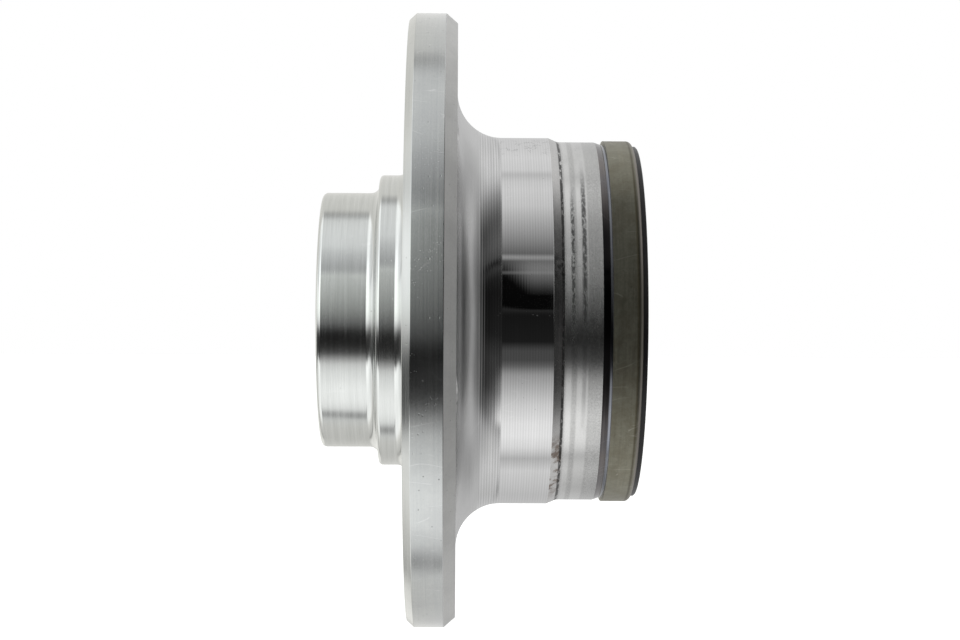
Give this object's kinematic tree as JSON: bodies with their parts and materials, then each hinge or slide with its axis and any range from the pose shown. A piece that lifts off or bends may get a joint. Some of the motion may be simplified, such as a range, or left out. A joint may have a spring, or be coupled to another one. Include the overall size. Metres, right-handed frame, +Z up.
{
  "type": "wheel hub bearing",
  "caption": "Flanged wheel hub bearing: a drilled wheel flange with pilots turns on caged ball rows round a stub axle bore, with seals and a magnetic speed ring.",
  "frame": {"origin": "centre of the flange's wheel face, on the axis of rotation", "axes": "+Y along the axis of rotation, out towards the wheel; +Z up, through the brake disc screw hole; +X to the right when the wheel side is seen from behind the hub"},
  "size_m": [0.1368, 0.0702, 0.1368],
  "materials": {
    "forged_steel": "turned bright steel, satin on the rim and grooved on the barrel",
    "bearing_steel": "ground and polished",
    "spring_steel": "satin",
    "cage_polyamide": "moulded, matte",
    "seal_steel": "rolled sheet, satin",
    "seal_rubber": "matte",
    "stainless_steel": "rolled sheet, bright",
    "carrier_steel": "olive grey phosphated sheet, satin, lightly scratched",
    "magnet_rubber": "moulded, matte"
  },
  "bodies": {
    "axle_side": {"inner_ring_outboard": "bearing_steel", "inner_ring_inboard": "bearing_steel", "inner_ring_clip": "spring_steel", "inboard_seal_flinger": "stainless_steel"},
    "wheel_side": {"hub_flange": "forged_steel", "outboard_seal_case": "seal_steel", "outboard_seal_lip": "seal_rubber", "inboard_seal_case": "seal_steel", "inboard_seal_lip": "seal_rubber", "encoder_carrier": "carrier_steel", "encoder_magnet": "magnet_rubber"},
    "cage_outboard": {"cage_outboard": "cage_polyamide"},
    "cage_inboard": {"cage_inboard": "cage_polyamide"},
    "ball_outboard_01": {"ball_outboard_01": "bearing_steel"},
    "ball_outboard_02": {"ball_outboard_02": "bearing_steel"},
    "ball_outboard_03": {"ball_outboard_03": "bearing_steel"},
    "ball_outboard_04": {"ball_outboard_04": "bearing_steel"},
    "ball_outboard_05": {"ball_outboard_05": "bearing_steel"},
    "ball_outboard_06": {"ball_outboard_06": "bearing_steel"},
    "ball_outboard_07": {"ball_outboard_07": "bearing_steel"},
    "ball_outboard_08": {"ball_outboard_08": "bearing_steel"},
    "ball_outboard_09": {"ball_outboard_09": "bearing_steel"},
    "ball_outboard_10": {"ball_outboard_10": "bearing_steel"},
    "ball_outboard_11": {"ball_outboard_11": "bearing_steel"},
    "ball_outboard_12": {"ball_outboard_12": "bearing_steel"},
    "ball_inboard_01": {"ball_inboard_01": "bearing_steel"},
    "ball_inboard_02": {"ball_inboard_02": "bearing_steel"},
    "ball_inboard_03": {"ball_inboard_03": "bearing_steel"},
    "ball_inboard_04": {"ball_inboard_04": "bearing_steel"},
    "ball_inboard_05": {"ball_inboard_05": "bearing_steel"},
    "ball_inboard_06": {"ball_inboard_06": "bearing_steel"},
    "ball_inboard_07": {"ball_inboard_07": "bearing_steel"},
    "ball_inboard_08": {"ball_inboard_08": "bearing_steel"},
    "ball_inboard_09": {"ball_inboard_09": "bearing_steel"},
    "ball_inboard_10": {"ball_inboard_10": "bearing_steel"},
    "ball_inboard_11": {"ball_inboard_11": "bearing_steel"},
    "ball_inboard_12": {"ball_inboard_12": "bearing_steel"}
  },
  "joints": [
    {"name": "hub_spin", "type": "hinge", "parent": "axle_side", "child": "wheel_side", "pos_m": [0, 0, 0], "axis": [0, 1, 0], "continuous": true},
    {"name": "cage_outboard_spin", "type": "hinge", "parent": "axle_side", "child": "cage_outboard", "pos_m": [0, -0.0124, 0], "axis": [0, 1, 0], "continuous": true},
    {"name": "cage_inboard_spin", "type": "hinge", "parent": "axle_side", "child": "cage_inboard", "pos_m": [0, -0.0354, 0], "axis": [0, 1, 0], "continuous": true},
    {"name": "ball_outboard_01_spin", "type": "hinge", "parent": "cage_outboard", "child": "ball_outboard_01", "pos_m": [0.026, -0.0124, 0], "axis": [0.5878, 0.809, 0], "continuous": true},
    {"name": "ball_outboard_02_spin", "type": "hinge", "parent": "cage_outboard", "child": "ball_outboard_02", "pos_m": [0.02252, -0.0124, 0.013], "axis": [0.509, 0.809, 0.2939], "continuous": true},
    {"name": "ball_outboard_03_spin", "type": "hinge", "parent": "cage_outboard", "child": "ball_outboard_03", "pos_m": [0.013, -0.0124, 0.02252], "axis": [0.2939, 0.809, 0.509], "continuous": true},
    {"name": "ball_outboard_04_spin", "type": "hinge", "parent": "cage_outboard", "child": "ball_outboard_04", "pos_m": [0, -0.0124, 0.026], "axis": [0, 0.809, 0.5878], "continuous": true},
    {"name": "ball_outboard_05_spin", "type": "hinge", "parent": "cage_outboard", "child": "ball_outboard_05", "pos_m": [-0.013, -0.0124, 0.02252], "axis": [-0.2939, 0.809, 0.509], "continuous": true},
    {"name": "ball_outboard_06_spin", "type": "hinge", "parent": "cage_outboard", "child": "ball_outboard_06", "pos_m": [-0.02252, -0.0124, 0.013], "axis": [-0.509, 0.809, 0.2939], "continuous": true},
    {"name": "ball_outboard_07_spin", "type": "hinge", "parent": "cage_outboard", "child": "ball_outboard_07", "pos_m": [-0.026, -0.0124, 0], "axis": [-0.5878, 0.809, 0], "continuous": true},
    {"name": "ball_outboard_08_spin", "type": "hinge", "parent": "cage_outboard", "child": "ball_outboard_08", "pos_m": [-0.02252, -0.0124, -0.013], "axis": [-0.509, 0.809, -0.2939], "continuous": true},
    {"name": "ball_outboard_09_spin", "type": "hinge", "parent": "cage_outboard", "child": "ball_outboard_09", "pos_m": [-0.013, -0.0124, -0.02252], "axis": [-0.2939, 0.809, -0.509], "continuous": true},
    {"name": "ball_outboard_10_spin", "type": "hinge", "parent": "cage_outboard", "child": "ball_outboard_10", "pos_m": [0, -0.0124, -0.026], "axis": [0, 0.809, -0.5878], "continuous": true},
    {"name": "ball_outboard_11_spin", "type": "hinge", "parent": "cage_outboard", "child": "ball_outboard_11", "pos_m": [0.013, -0.0124, -0.02252], "axis": [0.2939, 0.809, -0.509], "continuous": true},
    {"name": "ball_outboard_12_spin", "type": "hinge", "parent": "cage_outboard", "child": "ball_outboard_12", "pos_m": [0.02252, -0.0124, -0.013], "axis": [0.509, 0.809, -0.2939], "continuous": true},
    {"name": "ball_inboard_01_spin", "type": "hinge", "parent": "cage_inboard", "child": "ball_inboard_01", "pos_m": [0.026, -0.0354, 0], "axis": [-0.5878, 0.809, 0], "continuous": true},
    {"name": "ball_inboard_02_spin", "type": "hinge", "parent": "cage_inboard", "child": "ball_inboard_02", "pos_m": [0.02252, -0.0354, 0.013], "axis": [-0.509, 0.809, -0.2939], "continuous": true},
    {"name": "ball_inboard_03_spin", "type": "hinge", "parent": "cage_inboard", "child": "ball_inboard_03", "pos_m": [0.013, -0.0354, 0.02252], "axis": [-0.2939, 0.809, -0.509], "continuous": true},
    {"name": "ball_inboard_04_spin", "type": "hinge", "parent": "cage_inboard", "child": "ball_inboard_04", "pos_m": [0, -0.0354, 0.026], "axis": [0, 0.809, -0.5878], "continuous": true},
    {"name": "ball_inboard_05_spin", "type": "hinge", "parent": "cage_inboard", "child": "ball_inboard_05", "pos_m": [-0.013, -0.0354, 0.02252], "axis": [0.2939, 0.809, -0.509], "continuous": true},
    {"name": "ball_inboard_06_spin", "type": "hinge", "parent": "cage_inboard", "child": "ball_inboard_06", "pos_m": [-0.02252, -0.0354, 0.013], "axis": [0.509, 0.809, -0.2939], "continuous": true},
    {"name": "ball_inboard_07_spin", "type": "hinge", "parent": "cage_inboard", "child": "ball_inboard_07", "pos_m": [-0.026, -0.0354, 0], "axis": [0.5878, 0.809, 0], "continuous": true},
    {"name": "ball_inboard_08_spin", "type": "hinge", "parent": "cage_inboard", "child": "ball_inboard_08", "pos_m": [-0.02252, -0.0354, -0.013], "axis": [0.509, 0.809, 0.2939], "continuous": true},
    {"name": "ball_inboard_09_spin", "type": "hinge", "parent": "cage_inboard", "child": "ball_inboard_09", "pos_m": [-0.013, -0.0354, -0.02252], "axis": [0.2939, 0.809, 0.509], "continuous": true},
    {"name": "ball_inboard_10_spin", "type": "hinge", "parent": "cage_inboard", "child": "ball_inboard_10", "pos_m": [0, -0.0354, -0.026], "axis": [0, 0.809, 0.5878], "continuous": true},
    {"name": "ball_inboard_11_spin", "type": "hinge", "parent": "cage_inboard", "child": "ball_inboard_11", "pos_m": [0.013, -0.0354, -0.02252], "axis": [-0.2939, 0.809, 0.509], "continuous": true},
    {"name": "ball_inboard_12_spin", "type": "hinge", "parent": "cage_inboard", "child": "ball_inboard_12", "pos_m": [0.02252, -0.0354, -0.013], "axis": [-0.509, 0.809, 0.2939], "continuous": true}
  ],
  "couplings": [
    {"joint": "cage_outboard_spin", "follows": "hub_spin", "ratio": 0.59335},
    {"joint": "cage_inboard_spin", "follows": "hub_spin", "ratio": 0.59335},
    {"joint": "ball_outboard_01_spin", "follows": "hub_spin", "ratio": 2.0911},
    {"joint": "ball_outboard_02_spin", "follows": "hub_spin", "ratio": 2.0911},
    {"joint": "ball_outboard_03_spin", "follows": "hub_spin", "ratio": 2.0911},
    {"joint": "ball_outboard_04_spin", "follows": "hub_spin", "ratio": 2.0911},
    {"joint": "ball_outboard_05_spin", "follows": "hub_spin", "ratio": 2.0911},
    {"joint": "ball_outboard_06_spin", "follows": "hub_spin", "ratio": 2.0911},
    {"joint": "ball_outboard_07_spin", "follows": "hub_spin", "ratio": 2.0911},
    {"joint": "ball_outboard_08_spin", "follows": "hub_spin", "ratio": 2.0911},
    {"joint": "ball_outboard_09_spin", "follows": "hub_spin", "ratio": 2.0911},
    {"joint": "ball_outboard_10_spin", "follows": "hub_spin", "ratio": 2.0911},
    {"joint": "ball_outboard_11_spin", "follows": "hub_spin", "ratio": 2.0911},
    {"joint": "ball_outboard_12_spin", "follows": "hub_spin", "ratio": 2.0911},
    {"joint": "ball_inboard_01_spin", "follows": "hub_spin", "ratio": 2.0911},
    {"joint": "ball_inboard_02_spin", "follows": "hub_spin", "ratio": 2.0911},
    {"joint": "ball_inboard_03_spin", "follows": "hub_spin", "ratio": 2.0911},
    {"joint": "ball_inboard_04_spin", "follows": "hub_spin", "ratio": 2.0911},
    {"joint": "ball_inboard_05_spin", "follows": "hub_spin", "ratio": 2.0911},
    {"joint": "ball_inboard_06_spin", "follows": "hub_spin", "ratio": 2.0911},
    {"joint": "ball_inboard_07_spin", "follows": "hub_spin", "ratio": 2.0911},
    {"joint": "ball_inboard_08_spin", "follows": "hub_spin", "ratio": 2.0911},
    {"joint": "ball_inboard_09_spin", "follows": "hub_spin", "ratio": 2.0911},
    {"joint": "ball_inboard_10_spin", "follows": "hub_spin", "ratio": 2.0911},
    {"joint": "ball_inboard_11_spin", "follows": "hub_spin", "ratio": 2.0911},
    {"joint": "ball_inboard_12_spin", "follows": "hub_spin", "ratio": 2.0911}
  ]
}
